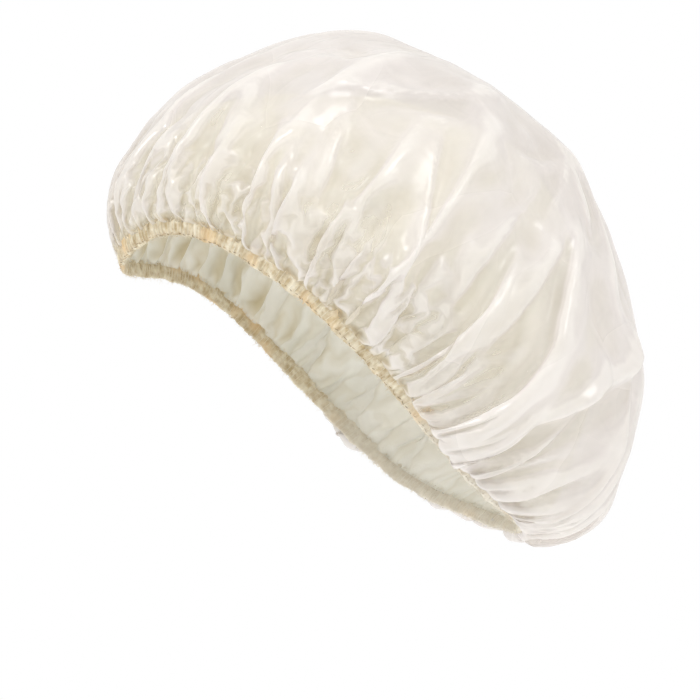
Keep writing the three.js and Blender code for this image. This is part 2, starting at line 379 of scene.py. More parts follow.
foldSpec = {
    "steps": 50,
    "rightTurn": 5,  # degrees by which the wearer's right differs from the left
    "front": 0.002,  # how wide the drop in front of an edge is
    "overhang": 1.5,  # how deep it is, where 1 ends level with the slope behind
    "taper": 0.6,  # how quickly a fold rises from its ends
    "fade": 0.006,  # how far it runs on past them
}


def bow(three, s):
    # a curve through three values, at its two ends and its middle
    a, b, c = three
    return a * (1 - s) * (1 - 2 * s) + b * 4 * s * (1 - s) + c * s * (2 * s - 1)


def nearestOn(line, points):
    # how far each point lies from a line, and from which place on it
    near = np.full(len(points), 9.0)
    nearest = np.zeros(len(points), dtype=int)
    for k, place in enumerate(line):
        gap = np.linalg.norm(points - place, axis=1)
        closer = gap < near
        near[closer], nearest[closer] = gap[closer], k
    return near, nearest


def foldHeights(table, bare, outward):
    # how far the long folds lift each point, on the wearer's left and, a little turned, on the right
    total = np.zeros(len(bare))
    s = np.linspace(0, 1, foldSpec["steps"])
    front, overhang = foldSpec["front"], foldSpec["overhang"]
    for turnsAt, sharesAt, height, reach, side in longFolds:
        turns, shares = bow(turnsAt, s), bow(sharesAt, s)
        for hand in (1, -1):
            angle = np.radians(turns if hand == 1 else 360 - turns + foldSpec["rightTurn"])
            line = onForm(table, angle, shares)
            near, nearest = nearestOn(line, bare)
            across = np.cross(outward, unit(np.gradient(line, axis=0))[nearest])
            beside = ((bare - line[nearest]) * across).sum(axis=1) * side * hand
            drop = np.exp(beside / front) * overhang - (overhang - 1) * np.exp(beside / reach)
            slope = np.where(beside > 0, np.exp(-beside / reach), drop)
            taper = np.sin(math.pi * np.clip(s[nearest], 0.02, 0.98)) ** foldSpec["taper"]
            ends = np.exp(-np.clip(near - np.abs(beside), 0, None) / foldSpec["fade"])
            total += height * slope * taper * ends
    return total


def layGathers(spec, turn, width, excess, wave, drift, lean):
    # gathers whose size follows wave: how high each point stands, and how far it slides sideways
    height, slide = np.zeros(len(turn)), np.zeros(len(turn))
    over = (1 + excess) / (2 * excess)
    count, level = spec["gathers"], 0
    while count >= spec["fewest"]:
        length = math.tau * width / count
        weight = np.clip(1 - np.abs(np.log2(wave / np.maximum(length, 1e-5))), 0, 1)
        phase = count * (turn + drift * spec["drift"]) + level * spec["sizeTurn"]
        swing = length / 4 * np.sqrt(excess**2 - 1)
        upright = swing * np.arcsin(spec["crest"] * np.cos(phase)) / spec["crestHeight"]
        puff = spec["puff"] * length * np.sqrt(excess - 1)
        # a fold that lies over: forward for most of its width, then a short way back under itself
        for side in (1, -1):
            u = (side * phase / math.tau) % 1.0
            rise = np.where(u < over, u / over, (1 - u) / np.maximum(1 - over, 1e-3))
            part = weight * np.clip(side * lean, 0, 1)
            slide += part * side * (excess - 1) * length * over * (rise - 0.5)
            height += part * puff * (2 * rise - 1)
        height += weight * (1 - np.abs(lean)) * upright
        count, level = count / 2, level + 1
    return height, slide


def gatherOnto(spec, table, lengths, share, turn, bare, outward, fromHem):
    # lays the flat cut over a form, with its spare width taken up in gathers that are close together
    # at the hem and wider towards the top, and that lean over one way or the other
    radius = share * around(cutRadius(spec, lengths), turn)
    width = onForm(formWidths(table), turn, share)[:, 0]
    excess = np.maximum(radius * spec["fullness"] / np.maximum(width, 1e-4), 1.0)
    back = (0.5 - 0.5 * np.cos(turn)) ** spec["backCurve"]
    wave = spec["gatherStart"] + spec["backStart"] * back
    wave += (spec["gatherGrowth"] + spec["backGrowth"] * back) * fromHem
    turned = [np.cos(turn) * spec["driftAround"], np.sin(turn) * spec["driftAround"]]
    place = np.stack(turned + [fromHem * spec["driftUp"]], axis=1)
    drift = smoothNoise(place, 1.0, spec["seed"])
    leaning = smoothNoise(place, spec["leanScale"], spec["leanSeed"]) * spec["leanSwitch"]
    frontLean = spec["frontLean"]
    lean = spec["lean"] * (frontLean + (1 - frontLean) * back) * np.clip(leaning, -1, 1)
    height, slide = layGathers(spec, turn, width, excess, wave, drift, lean)
    deepest = spec["deepest"] * (spec["frontDepth"] + (1 - spec["frontDepth"]) * back)
    height = np.clip(height * spec["softened"], -spec["inwards"] * deepest, deepest)
    height *= ramp(fromHem, 0, spec["hemReach"], spec["hemHeight"])
    height *= 1 - spec["calm"] * back * ramp(fromHem, spec["calmStart"], spec["calmReach"])
    slide *= ramp(fromHem, 0, spec["leanReach"])
    sideways = unit(np.cross(capAxis, outward))
    height -= spec["sink"] * ramp(fromHem, 0, spec["sinkReach"])
    points = bare + outward * height[:, None] + sideways * slide[:, None]
    # the spare length bags down over the elastic, most at the nape
    beyond = fromHem / spec["bag"]
    atNape = ramp(-np.cos(turn), spec["bagFront"], spec["bagTurn"])
    droop = (spec["droop"] + spec["backDroop"] * atNape) * beyond * np.exp(1 - beyond)
    downwards = around(unit(table[:, -1] - table[:, -5]), turn)
    points += downwards * droop[:, None] + outward * (spec["bagOut"] * droop)[:, None]
    return radius, points


def flatCut(spec, radius, turn):
    # the cut laid flat, and as a cone with its own lengths from top to rim but a little less width
    wide = radius * spec["fullness"]
    tall = radius * math.sqrt(1 - spec["fullness"] ** 2)
    flat = np.stack([radius * np.cos(turn), radius * np.sin(turn)], axis=1)
    return flat, np.stack([wide * np.cos(turn), wide * np.sin(turn), tall], axis=1)


def letGo(spec, cone, points, faces):
    # the cut is carried to its gathered place in a few frames, and then let go so that it finds its
    # own folds, with only its rim held
    mesh = bpy.data.meshes.new(spec["name"] + "Cut")
    mesh.from_pydata([tuple(p) for p in cone], [], faces)
    cut = bpy.data.objects.new(spec["name"] + "Cut", mesh)
    scene.collection.objects.link(cut)
    cut.shape_key_add(name="Basis")
    onHead = cut.shape_key_add(name="onHead")
    onHead.data.foreach_set("co", points.ravel())
    pins = cut.vertex_groups.new(name="pins")
    pins.add(list(range(spec["points"])), spec["hold"], "REPLACE")
    pins.add(list(range(spec["points"], len(points))), 1.0, "REPLACE")
    grip = cut.modifiers.new("grip", "VERTEX_WEIGHT_MIX")
    grip.vertex_group_a = "pins"
    grip.default_weight_b = 1.0
    grip.mix_mode = "SET"
    grip.mix_set = "ALL"
    for step, place, held in clothKeys:
        onHead.value = place
        onHead.keyframe_insert("value", frame=step)
        grip.mask_constant = held
        grip.keyframe_insert("mask_constant", frame=step)
    cloth = cut.modifiers.new("cloth", "CLOTH")
    settings = cloth.settings
    settings.quality = spec["quality"]
    settings.mass = spec["mass"]
    settings.tension_stiffness = settings.compression_stiffness = spec["stretch"]
    settings.shear_stiffness = spec["stretch"] * spec["shear"]
    settings.bending_stiffness = spec["bend"]
    settings.air_damping = spec["airDamping"]
    settings.vertex_group_mass = "pins"
    settings.pin_stiffness = spec["pull"]
    settings.effector_weights.gravity = 0
    cloth.collision_settings.use_collision = False
    cloth.collision_settings.use_self_collision = False
    cloth.point_cache.frame_start = 1
    cloth.point_cache.frame_end = spec["frames"]
    for step in range(1, spec["frames"] + 1):
        scene.frame_set(step)
    after = placesOf(cut.evaluated_get(bpy.context.evaluated_depsgraph_get()).data)
    scene.frame_set(1)
    bpy.data.objects.remove(cut)
    return after


def averagerOver(ends, count):
    # gives a function that averages a table over each point's neighbours
    here, there = np.concatenate([ends, ends[:, ::-1]]).T
    total = np.maximum(np.bincount(here, minlength=count), 1)

    def averaged(table):
        return np.stack([np.bincount(here, v[there], count) / total for v in table.T], axis=1)

    return averaged


def addValue(mesh, name, values):
    layer = mesh.attributes.new(name, "FLOAT", "POINT")
    layer.data.foreach_set("value", np.asarray(values, dtype=np.float32))


def makeSheet(spec, table, lengths):
    # a gathered sheet over a form, with its cut laid flat as its UV map
    share, turn, faces = flatDisc(spec)
    bare = onForm(table, turn, share)
    outward = unit(onForm(formNormals(table), turn, share))
    fromHem = (1 - share) * around(lengths, turn)
    radius, points = gatherOnto(spec, table, lengths, share, turn, bare, outward, fromHem)
    flat, cone = flatCut(spec, radius, turn)
    after = letGo(spec, cone, points, faces)
    # away from the hem the finest crumples are ironed out
    sides = [edge for a, b, c in faces for edge in ((a, b), (b, c), (c, a))]
    averaged = averagerOver(np.array([edge for edge in sides if edge[0] < edge[1]]), len(after))
    ironed = spec["ironed"] * ramp(fromHem, spec["ironStart"], spec["ironReach"])[:, None]
    for _ in range(spec["ironing"]):
        after = after + ironed * (averaged(after) - after)
    after = after + outward * (spec["folds"] * foldHeights(table, bare, outward))[:, None]
    mesh = bpy.data.meshes.new(spec["name"])
    mesh.from_pydata([tuple(p) for p in after], [], faces)
    mesh.shade_smooth()
    flatMap = mesh.uv_layers.new(name="flat")
    corners = np.zeros(len(mesh.loops), dtype=int)
    mesh.loops.foreach_get("vertex_index", corners)
    flatMap.data.foreach_set("uv", (flat[corners] + 0.5).ravel())
    height = ((after - bare) * outward).sum(axis=1) + spec["valleyBelow"]
    addValue(mesh, "fromHem", fromHem)
    addValue(mesh, "valley", np.clip(spec["valleyStart"] - height / spec["valley"], 0, 1))
    sheet = bpy.data.objects.new(spec["name"], mesh)
    scene.collection.objects.link(sheet)
    moved = np.linalg.norm(after - points, axis=1)
    print(spec["name"], "moved", moved.mean().round(4), "m, at most", moved.max().round(4), "m")
    return sheet


def faceOutwards(sheet):
    faces = sheet.data.polygons
    if sum((np.array(f.center) - middle) @ np.array(f.normal) for f in faces) < 0:
        sheet.data.flip_normals()


def easeSpikes(sheet, most, rounds=3):
    # a corner that stands far off its neighbours is drawn back towards them
    bm = bmesh.new()
    bm.from_mesh(sheet.data)
    for _ in range(rounds):
        moves = []
        for v in bm.verts:
            if v.is_boundary:
                continue
            ends = [e.other_vert(v).co for e in v.link_edges]
            centre = sum(ends, Vector()) / len(ends)
            size = sum((p - centre).length for p in ends) / len(ends)
            gap = (v.co - centre).length
            if gap > most * size:
                moves.append((v, centre + (v.co - centre) * (most * size / gap)))
        for v, place in moves:
            v.co = place
    bm.to_mesh(sheet.data)
    bm.free()


def keepOutside(outer, inner, gap, reach):
    # where the outer sheet has sunk into the inner one, it is lifted back off it
    tree = treeOf(inner)
    centre = Vector(middle)
    lifted = 0
    for v in outer.data.vertices:
        way = (v.co - centre).normalized()
        place = tree.ray_cast(v.co + way * reach, -way, reach + gap)[0]
        if place:
            v.co = place + way * gap
            lifted += 1
    print(outer.name, "lifted", lifted, "of", len(outer.data.vertices))


def addHollows(sheet, spec):
    # how far each point lies below the sheet around it: 0 on a ridge, 1 in a hollow
    mesh = sheet.data
    places = placesOf(mesh)
    averaged = averagerOver(np.array([e.vertices for e in mesh.edges]), len(places))
    mean = places
    for _ in range(spec["hollowRounds"]):
        mean = averaged(mean)
    below = ((mean - places) * np.array([v.normal for v in mesh.vertices])).sum(axis=1)
    below = (below - np.median(below)) / spec["hollowDepth"]
    addValue(mesh, "hollow", np.clip(0.5 + below, 0, 1))


def addSubdivision(sheet, faceAngle=60, shapeAngle=120):
    # pairs of triangles are made one face, and then each face is divided once
    bm = bmesh.new()
    bm.from_mesh(sheet.data)
    bmesh.ops.join_triangles(
        bm,
        faces=bm.faces,
        angle_face_threshold=math.radians(faceAngle),
        angle_shape_threshold=math.radians(shapeAngle),
    )
    bm.to_mesh(sheet.data)
    bm.free()
    finer = sheet.modifiers.new("finer", "SUBSURF")
    finer.levels = finer.render_levels = 1
    bpy.context.view_layer.objects.active = sheet
    bpy.ops.object.select_all(action="DESELECT")
    sheet.select_set(True)
    bpy.ops.object.modifier_apply(modifier="finer")


liningSpec = {
    **bothSheets,
    "name": "liningSheet",
    "spare": 1.03,  # how much longer the sheet is cut than its way from top to hem
    "points": 10000,
    "rimPoints": 480,
    "deepest": 0.006,  # how high a gather may stand
    "inwards": 0.7,  # and the share of that by which it may dip
    "puff": 0.30,  # how far a gather that lies over puffs up
    "calm": 0.3,  # how much of their height the gathers lose high up at the back
    "ironing": 3,  # rounds
    "folds": 0.8,  # share of the long folds' height
    "bag": 0.012,  # how far above the hem the spare length bags out
    "droop": 0.0,  # how far it hangs down
    "backDroop": 0.0,  # and what is added at the nape
    "valley": 0.006,  # depth of a valley in the finish
    "hollowDepth": 0.0045,  # and of a hollow
    "frames": 34,
    "bend": 0.3,
    "hold": 0.35,  # how firmly the sheet is held inside its rim
    "pull": 4,  # and how hard it is pulled back to its place
}
filmSpec = {
    **bothSheets,
    "name": "filmSheet",
    "spare": 1.05,
    "points": 22000,
    "rimPoints": 720,
    "deepest": 0.013,
    "inwards": 0.2,
    "puff": 0.38,
    "calm": 0.35,
    "ironing": 6,
    "folds": 1.0,
    "bag": 0.010,
    "droop": 0.0015,
    "backDroop": 0.013,
    "valley": 0.007,
    "hollowDepth": 0.0035,
    "frames": 40,
    "bend": 0.2,
    "hold": 0.5,
    "pull": 1,
    "gap": 0.0014,  # space that is kept between film and lining
    "gapReach": 0.012,  # and how deep the film may have sunk
}
lining = makeSheet(liningSpec, liningForm, liningLengths)
film = makeSheet(filmSpec, filmForm, filmLengths)
for sheet, spec in ((lining, liningSpec), (film, filmSpec)):
    faceOutwards(sheet)
    easeSpikes(sheet, spec["spike"])
addHollows(lining, liningSpec)
addSubdivision(lining)
keepOutside(film, lining, filmSpec["gap"], filmSpec["gapReach"])
addHollows(film, filmSpec)
addSubdivision(film)


def finerRing(values, count):
    # reads evenly spaced rows around a circle more finely, along a smooth curve
    n = len(values)
    waves = np.fft.rfft(values, axis=0)
    out = np.zeros((count // 2 + 1,) + values.shape[1:], dtype=complex)
    out[: len(waves)] = waves
    return np.fft.irfft(out, n=count, axis=0) * (count / n)


def hemAt(count):
    # places around the hem, the ways up and out there, how far along they lie, and the whole length
    centres = finerRing(hemCentres, count)
    along = finerRing(hemAlong, count)
    tangent = unit(np.roll(centres, -1, axis=0) - np.roll(centres, 1, axis=0))
    out = unit(np.cross(tangent, along))
    along = unit(np.cross(out, tangent))
    steps = np.linalg.norm(np.roll(centres, -1, axis=0) - centres, axis=1)
    run = np.concatenate([[0], np.cumsum(steps)])
    return centres, along, out, run[:-1], run[-1]


def alongHem(run, total, size, seed, apart=3.3, swing=1.6):
    # an uneven value along the hem, from -1 to 1, that closes on itself
    a = run / total * math.tau
    reach = total / (math.tau * size)
    place = np.stack([np.cos(a) * reach, np.sin(a) * reach, np.full(len(a), seed * apart)], axis=1)
    return np.clip(smoothNoise(place, 1.0, seed) * swing, -1, 1)


elasticSpec = {
    "name": "elasticHem",
    "steps": 2400,
    "round": 16,
    "height": 0.0076,
    "thickness": 0.0013,  # of the band itself, before its scrunch
    "lift": -0.0006,  # how far up the hem line its middle lies
    "flatness": (0.7, 0.8),  # how square its section is: 1 is round
    "scrunch": 0.0010,
    "clumps": (0.0085, 1),  # size and seed of each kind of unevenness
    "folds": (0.0038, 2),
    "pinches": (0.0015, 3),
    "pinchesBelow": (0.0019, 7),
    "topEdge": ((0.0038, 4), (0.0016, 5)),
    "lowEdge": ((0.0060, 6), (0.0021, 8)),
    "fineEdge": (0.6, 0.5),  # share of the finer kind in the upper and the lower edge
    "edges": (1.2, 0.4),  # how uneven the two edges are
    "bulge": (0.15, 0.25, 0.25),  # how much thicker clumps, folds and pinches make it
    "tall": 0.12,  # how much taller clumps make it
    "sway": (0.55, 0.4, 0.32),  # how far folds, clumps and pinches move it out, for each scrunch
    "swayBelow": 0.3,  # share of that at its lower edge
    "outerPinch": 0.5,  # how much deeper pinches are outside
}


def makeElastic(spec):
    # a narrow, flat band, scrunched up by its own pull, with an uneven edge where the sheets leave it
    centres, along, out, run, total = hemAt(spec["steps"])
    clumps = alongHem(run, total, *spec["clumps"])
    sharp = ("folds", "pinches", "pinchesBelow")
    sharp = [1 - 2 * np.abs(alongHem(run, total, *spec[key])) for key in sharp]
    folds, pinches, pinchesBelow = sharp
    edges = []
    for key, share, amount in zip(("topEdge", "lowEdge"), spec["fineEdge"], spec["edges"]):
        broad, fine = (alongHem(run, total, *kind) for kind in spec[key])
        edges.append((broad + share * fine) * amount)
    byClumps, byFolds, byPinches = spec["bulge"]
    bulge = 1 + byClumps * clumps + byFolds * folds + byPinches * pinches
    foldSway, clumpSway, pinchSway = spec["sway"]
    below = spec["swayBelow"]
    bpy.ops.mesh.primitive_grid_add(x_subdivisions=spec["steps"], y_subdivisions=spec["round"])
    band = bpy.context.object
    band.name = band.data.name = spec["name"]
    rows = np.zeros((spec["round"] + 1, spec["steps"] + 1, 3))
    for j in range(spec["round"] + 1):
        a = math.tau * j / spec["round"]
        rise = math.copysign(abs(math.sin(a)) ** spec["flatness"][0], math.sin(a))
        depth = math.copysign(abs(math.cos(a)) ** spec["flatness"][1], math.cos(a))
        up = rise * spec["height"] / 2
        edge = edges[0] if up > 0 else edges[1]
        lift = spec["lift"] + up * (1 + spec["tall"] * clumps)
        lift += spec["scrunch"] * edge * abs(math.sin(a))
        height = up / spec["height"] + 0.5
        crimp = pinches * height + pinchesBelow * (1 - height)
        sway = (foldSway * folds + clumpSway * clumps) * (below + (1 - below) * height)
        sway += pinchSway * crimp * (1 + spec["outerPinch"] * math.cos(a))
        outwards = depth * spec["thickness"] / 2 * bulge + spec["scrunch"] * sway
        rows[j, :-1] = centres + along * lift[:, None] + out * outwards[:, None]
    rows[:, -1] = rows[:, 0]
    band.data.vertices.foreach_set("co", rows.ravel())
    band.data.update()
    bpy.ops.object.mode_set(mode="EDIT")
    bpy.ops.mesh.select_all(action="SELECT")
    bpy.ops.mesh.remove_doubles(threshold=1e-6)
    bpy.ops.object.mode_set(mode="OBJECT")
    bpy.ops.object.shade_smooth()
    return band


bpy.ops.object.select_all(action="DESELECT")
elastic = makeElastic(elasticSpec)


def makeThread(name, lines, radius, closed, roundness):
    # closed or open threads, all in one mesh
    curve = bpy.data.curves.new(name, "CURVE")
    curve.dimensions = "3D"
    curve.bevel_depth = radius
    curve.bevel_resolution = roundness
    curve.use_fill_caps = not closed
    for line in lines:
        spline = curve.splines.new("POLY")
        spline.points.add(len(line) - 1)
        spline.points.foreach_set("co", np.column_stack([line, np.ones(len(line))]).ravel())
        spline.use_cyclic_u = closed
    thread = bpy.data.objects.new(name, curve)
    scene.collection.objects.link(thread)
    bpy.ops.object.select_all(action="DESELECT")
    thread.select_set(True)
    bpy.context.view_layer.objects.active = thread
    bpy.ops.object.convert(target="MESH")
    return bpy.context.object


hemPlaces = 1664  # places around the hem that the threads are laid from
hemRing = hemAt(hemPlaces)
half, deep = elasticSpec["height"] / 2, elasticSpec["thickness"] / 2
lift = elasticSpec["lift"]


def readRing(table, t):
    n = len(table)
    wrapped = np.vstack([table, table[:1]])
    return np.stack([np.interp(t * n, np.arange(n + 1), wrapped[:, k]) for k in range(3)], axis=1)


def layThread(spec, t, up, depth):
    # one closed thread around the hem, at a height and a depth on the elastic
    centres, along, out = (readRing(table, t) for table in hemRing[:3])
    line = centres + unit(along) * up[:, None] + unit(out) * depth[:, None]
    return makeThread(spec["name"], [line], spec["radius"], True, 1)


overlockSpec = {
    "name": "overlockThread",
    "radius": 0.00012,
    "pitch": 0.0019,
    "steps": 14,  # points for each stitch
    "offEdge": 0.0001,  # how far it stands off the elastic's edges
    "offFace": 0.0008,  # and off its faces
    "shift": (0.0011, 0.012, 12),  # amount, size and seed of each kind of unevenness
    "slant": (0.7, 0.004, 13),
    "tall": (0.22, 0.005, 14),
    "loose": (0.25, 0.006, 15),
}
needleShadowLineSpec = {
    "name": "needleThreadShadowLine",
    "radius": 0.00016,
    "pitch": 0.0024,
    "steps": 10,
    "below": 0.36,  # how far below the elastic's middle it runs, as a share of its height
    "out": 0.55,  # and how far outside it, as a share of its thickness
    "zigzag": 0.0003,
    "dip": 0.0006,
    "slant": (1.5, 0.007, 16),
    "wander": (0.06, 0.01, 17),
}


def uneven(t, amount, size, seed):
    return amount * alongHem(t, 1.0, size, seed)


def stitchPlaces(spec):
    # how many stitches go around the hem, and even places for their points
    count = int(round(hemRing[4] / spec["pitch"]))
    return count, np.arange(count * spec["steps"]) / (count * spec["steps"])


def makeOverlock(spec):
    # an overlock thread that winds around the elastic, a little unevenly
    count, evenly = stitchPlaces(spec)
    t = (evenly + uneven(evenly, *spec["shift"])) % 1.0
    a = evenly * count * math.tau + uneven(t, *spec["slant"])
    up = np.sin(a) * (half + spec["offEdge"]) * (1 + uneven(t, *spec["tall"])) + lift
    depth = np.cos(a) * (deep + spec["offFace"]) * (1 + uneven(t, *spec["loose"]))
    return layThread(spec, t, up, depth)


def makeNeedleShadowLine(spec):
    # a darker needle thread that dips in and out along the elastic's lower edge, and also makes a
    # painted shadow line there
    count, t = stitchPlaces(spec)
    a = t * count * math.tau + uneven(t, *spec["slant"])
    below = elasticSpec["height"] * (spec["below"] + uneven(t, *spec["wander"]))
    up = lift - below + spec["zigzag"] * np.sin(a / 2)
    depth = elasticSpec["thickness"] * spec["out"] + spec["dip"] * np.sin(a)
    return layThread(spec, t, up, depth)


fluffSpec = {
    "name": "threadFluff",
    "fibres": 6000,
    "shortest": 0.0006,
    "longest": 0.0019,
    "radius": 0.00004,
    "points": 4,  # points on each fibre
    "scatter": 0.0002,  # how far its root lies from a place on the hem
    "sideways": 1.6,  # how far it may point along the hem
    "upwards": 0.6,  # or up and down
    "curl": 0.5,
    "seed": 21,
}


def makeFluff(spec):
    # loose ends of the crimped thread that stand off the elastic
    rng = random.Random(spec["seed"])
    either = lambda most: rng.uniform(-most, most)
    f = np.linspace(0, 1, spec["points"])[:, None]
    lines = []
    for _ in range(spec["fibres"]):
        k = rng.randrange(hemPlaces)
        centre, along, out = (table[k] for table in hemRing[:3])
        tangent = np.cross(along, out)
        a = rng.uniform(0, math.tau)
        root = centre + along * (lift + math.sin(a) * half) + out * math.cos(a) * deep
        root = root + tangent * either(spec["scatter"])
        way = out * math.cos(a) + along * math.sin(a) + tangent * either(spec["sideways"])
        way = way + along * either(spec["upwards"])
        way /= np.linalg.norm(way)
        bend = np.array([either(1) for _ in range(3)])
        length = rng.uniform(spec["shortest"], spec["longest"])
        lines.append(root + length * f * (way + bend * spec["curl"] * f))
    return makeThread(spec["name"], lines, spec["radius"], False, 0)


stitches = makeOverlock(overlockSpec)
edgeStitchShadowLine = makeNeedleShadowLine(needleShadowLineSpec)
fluff = makeFluff(fluffSpec)
for piece in (elastic, stitches, edgeStitchShadowLine, fluff):
    bm = bmesh.new()
    bm.from_mesh(piece.data)
    bmesh.ops.recalc_face_normals(bm, faces=bm.faces)
    bm.to_mesh(piece.data)
    bm.free()
print("the elastic and its threads are made")

# the piece, the node that it stands for, and its slot
pieces = [
    (film, "film_crown", "film"),
    (lining, "lining", "lining"),
    (elastic, "elastic_binding", "elastic"),
    (stitches, None, "elastic"),
    (edgeStitchShadowLine, None, "elastic"),
    (fluff, None, "elastic"),
]
frontSpec = {"start": -0.62, "reach": 0.3}  # where the front begins, as a cosine, for the finishes
for piece, node, slotName in pieces:
    turn, _ = toPolar(placesOf(piece.data))
    addValue(piece.data, "front", ramp(np.cos(turn), frontSpec["start"], frontSpec["reach"]))
    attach(piece, "root")
    if node:
        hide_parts(node)


def newMaterial(name):
    material = bpy.data.materials.new(name)
    material.use_nodes = True
    tree = material.node_tree
    tree.nodes.clear()
    output = tree.nodes.new("ShaderNodeOutputMaterial")
    return material, tree, output


def add(tree, kind, inputs=None, **settings):
    # a new node, whose inputs are values or come from other nodes
    node = tree.nodes.new(kind)
    for key, value in settings.items():
        setattr(node, key, value)
    for key, value in (inputs or {}).items():
        if isinstance(value, bpy.types.NodeSocket):
            tree.links.new(value, node.inputs[key])
        else:
            node.inputs[key].default_value = value
    return node


def maths(tree, operation, *values):
    return add(tree, "ShaderNodeMath", dict(enumerate(values)), operation=operation).outputs[0]


def vectors(tree, operation, *values, out="Vector", **more):
    inputs = {**dict(enumerate(values)), **more}
    return add(tree, "ShaderNodeVectorMath", inputs, operation=operation).outputs[out]


def ranged(tree, value, start, end, low=0.0, high=1.0, smooth=False):
    # carries a value from one range to another, and holds it at the ends
    inputs = {"Value": value, "From Min": start, "From Max": end, "To Min": low, "To Max": high}
    kind = "SMOOTHSTEP" if smooth else "LINEAR"
    return add(tree, "ShaderNodeMapRange", inputs, interpolation_type=kind).outputs["Result"]


def mixed(tree, share, first, second):
    inputs = {"Fac": share, "Color1": first, "Color2": second}
    return add(tree, "ShaderNodeMixRGB", inputs).outputs["Color"]


def blended(tree, share, first, second):
    return add(tree, "ShaderNodeMixShader", {0: share, 1: first, 2: second}).outputs[0]


def clouded(tree, place, scale, detail, out="Fac", **more):
    inputs = {"Vector": place, "Scale": scale, "Detail": detail, **more}
    return add(tree, "ShaderNodeTexNoise", inputs).outputs[out]


def cellular(tree, place, scale, feature):
    inputs = {"Vector": place, "Scale": scale}
    return add(tree, "ShaderNodeTexVoronoi", inputs, feature=feature)


def glowing(tree, look, colour, normal, **bent):
    # a surface that also lets light through
    inputs = {"Roughness": look["rough"], "Base Color": colour, "Normal": normal}
    skin = add(tree, "ShaderNodeBsdfPrincipled", inputs).outputs[0]
    through = add(tree, "ShaderNodeBsdfTranslucent", {"Color": colour, **bent}).outputs[0]
    return blended(tree, look["glow"], skin, through)


def valueOf(tree, name):
    return add(tree, "ShaderNodeAttribute", attribute_name=name).outputs["Fac"]


def ramped(tree, share, stops):
    node = add(tree, "ShaderNodeValToRGB", {"Fac": share})
    ends = node.color_ramp.elements
    for end, (position, color) in zip((ends[0], ends[1]), (stops[0], stops[-1])):
        end.position, end.color = position, color
    for position, color in stops[1:-1]:
        ends.new(position).color = color
    return node.outputs["Color"]


filmLook = {
    "tones": (  # from where it stands off the lining to the painted shade of the deepest valleys at the hem
        (0.0, (0.80, 0.763, 0.75, 1)),
        (0.45, (0.80, 0.755, 0.66, 1)),
        (1.0, (0.56, 0.45, 0.25, 1)),
    ),
    # painted highlight colour for the ridges
    "ridge": (0.93, 0.905, 0.875, 1),
    "clear": (0.925, 0.905, 0.88, 1),  # what the thinnest film lets through
    "rough": 0.2,
    "glow": 0.4,  # share of the light that comes through the milky film
    "creaseAround": 3.6,  # how close the long creases lie around the cap
    "creaseUp": 11.0,  # and how quickly they change towards the top
    "creases": ((1.0, 1.3), (2.3, 0.6)),  # scale and depth
    "creaseWidth": 9.0,
    "packing": ((17.0, 0.08, 0.55), (41.0, 0.09, 0.22)),  # scale, width and depth of straight creases
    "packingDrift": (0.05, 0.05, 0.0),
    "double": (17.0, 0.5, 0.8, 0.10),  # scale, range and strength of the patches that lie double
    "tilt": 300.0,  # how far a patch tilts
    "crinkle": (120.0, 0.2),  # scale and depth
    "bump": (0.45, 0.0006),  # strength and distance
    "hemRange": (0.009, 0.002),  # distance from the hem where the elastic shows through
    "hemNoise": (45.0, 0.016),
    "hemStrength": 0.75,
    "valleyRange": (0.040, 0.008),  # and where valleys get painted shade
    "valleyStrength": (0.9, 0.03),  # near the hem, and everywhere
    "frontStrength": (0.7, 0.3),
    "sunk": (0.48, 0.82),  # hollows, from 0 to 1
    "ridgeHighlight": (0.46, 0.18, 0.55),  # ridges, and how white their painted highlight makes them
    # painted shade in the hollows: where it grows towards the hem at the front, and how strong it is
    # there and elsewhere
    "hollowShadeRange": (0.085, 0.012),
    "hollowShadeStrength": (0.34, 0.11),
    "edgeBlend": 0.35,
    "cover": (0.36, 0.97),  # how milky it is face on and edge on
    "clouds": (15.0, 0.75),
    "sunkCover": -0.16,
    "raisedCover": 0.25,
    "worn": 0.2,  # how much whiter it is along a packing crease
    "coverRange": (-0.12, 1.0, 0.13, 0.98),
}


